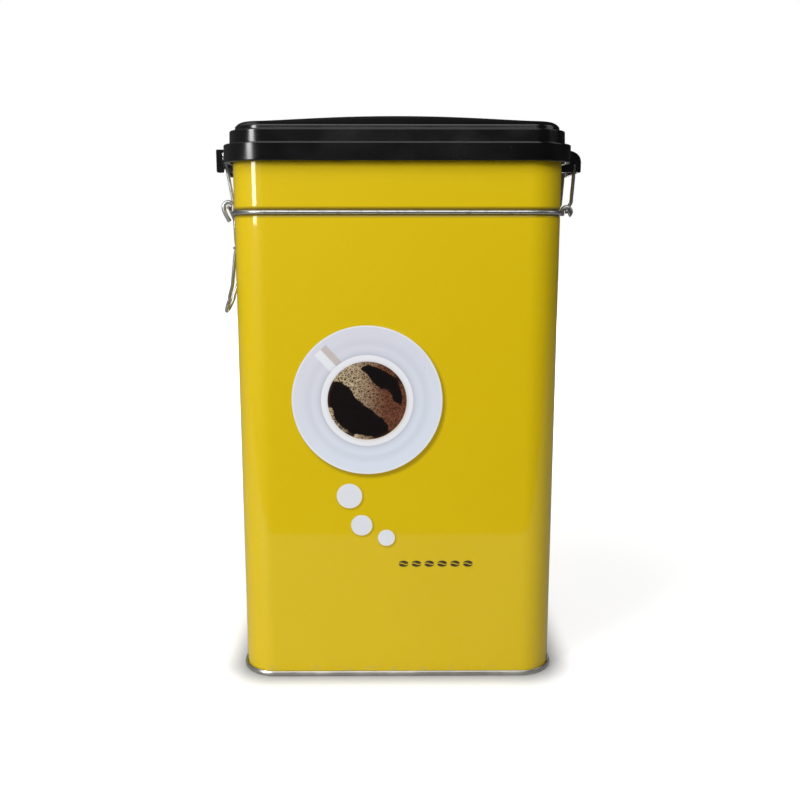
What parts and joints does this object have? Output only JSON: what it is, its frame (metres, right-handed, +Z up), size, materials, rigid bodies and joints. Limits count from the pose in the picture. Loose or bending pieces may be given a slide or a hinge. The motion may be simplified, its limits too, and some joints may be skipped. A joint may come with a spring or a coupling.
{
  "type": "coffee tin",
  "caption": "Tall rectangular steel storage tin with rounded corners and a domed plastic lid, hinged on a wire link and held shut by a wire toggle clip.",
  "frame": {"origin": "centre of the rim the tin stands on", "axes": "+Z up, front face towards -Y, toggle clip on the -X side, hinge on the +X side"},
  "size_m": [0.128, 0.0798, 0.1957],
  "materials": {
    "printed_steel": "glossy yellow print under clear varnish",
    "tinplate": "bright tinplate",
    "wire": "bright plated wire",
    "lid_plastic": "semi-gloss black",
    "seal": "matt"
  },
  "bodies": {
    "tin": {"tin_body": "printed_steel", "bottom_end": "tinplate", "neck_wire_front": "wire", "neck_wire_back": "wire"},
    "lever": {"closure_lever": "wire"},
    "bail": {"closure_bail": "wire"},
    "link": {"hinge_link": "wire"},
    "lid": {"lid": "lid_plastic", "lid_seal": "seal"}
  },
  "joints": [
    {"name": "lever_pivot", "type": "hinge", "parent": "tin", "child": "lever", "pos_m": [-0.0594, 0, 0.1646], "axis": [0, 1, 0], "range_deg": [0, 100]},
    {"name": "bail_pivot", "type": "hinge", "parent": "lever", "child": "bail", "pos_m": [-0.0573, 0, 0.1515], "axis": [0, 1, 0], "range_deg": [-80.5, 0]},
    {"name": "lid_hinge", "type": "hinge", "parent": "link", "child": "lid", "pos_m": [0.0617, 0, 0.1809], "axis": [0, 1, 0], "range_deg": [0, 100]},
    {"name": "link_pivot", "type": "hinge", "parent": "tin", "child": "link", "pos_m": [0.0597, 0, 0.163], "axis": [0, 1, 0], "range_deg": [0, 10.1]}
  ],
  "couplings": [
    {"joint": "bail_pivot", "follows": "lever_pivot", "ratio": -0.8},
    {"joint": "link_pivot", "follows": "lid_hinge", "ratio": 0.1}
  ]
}
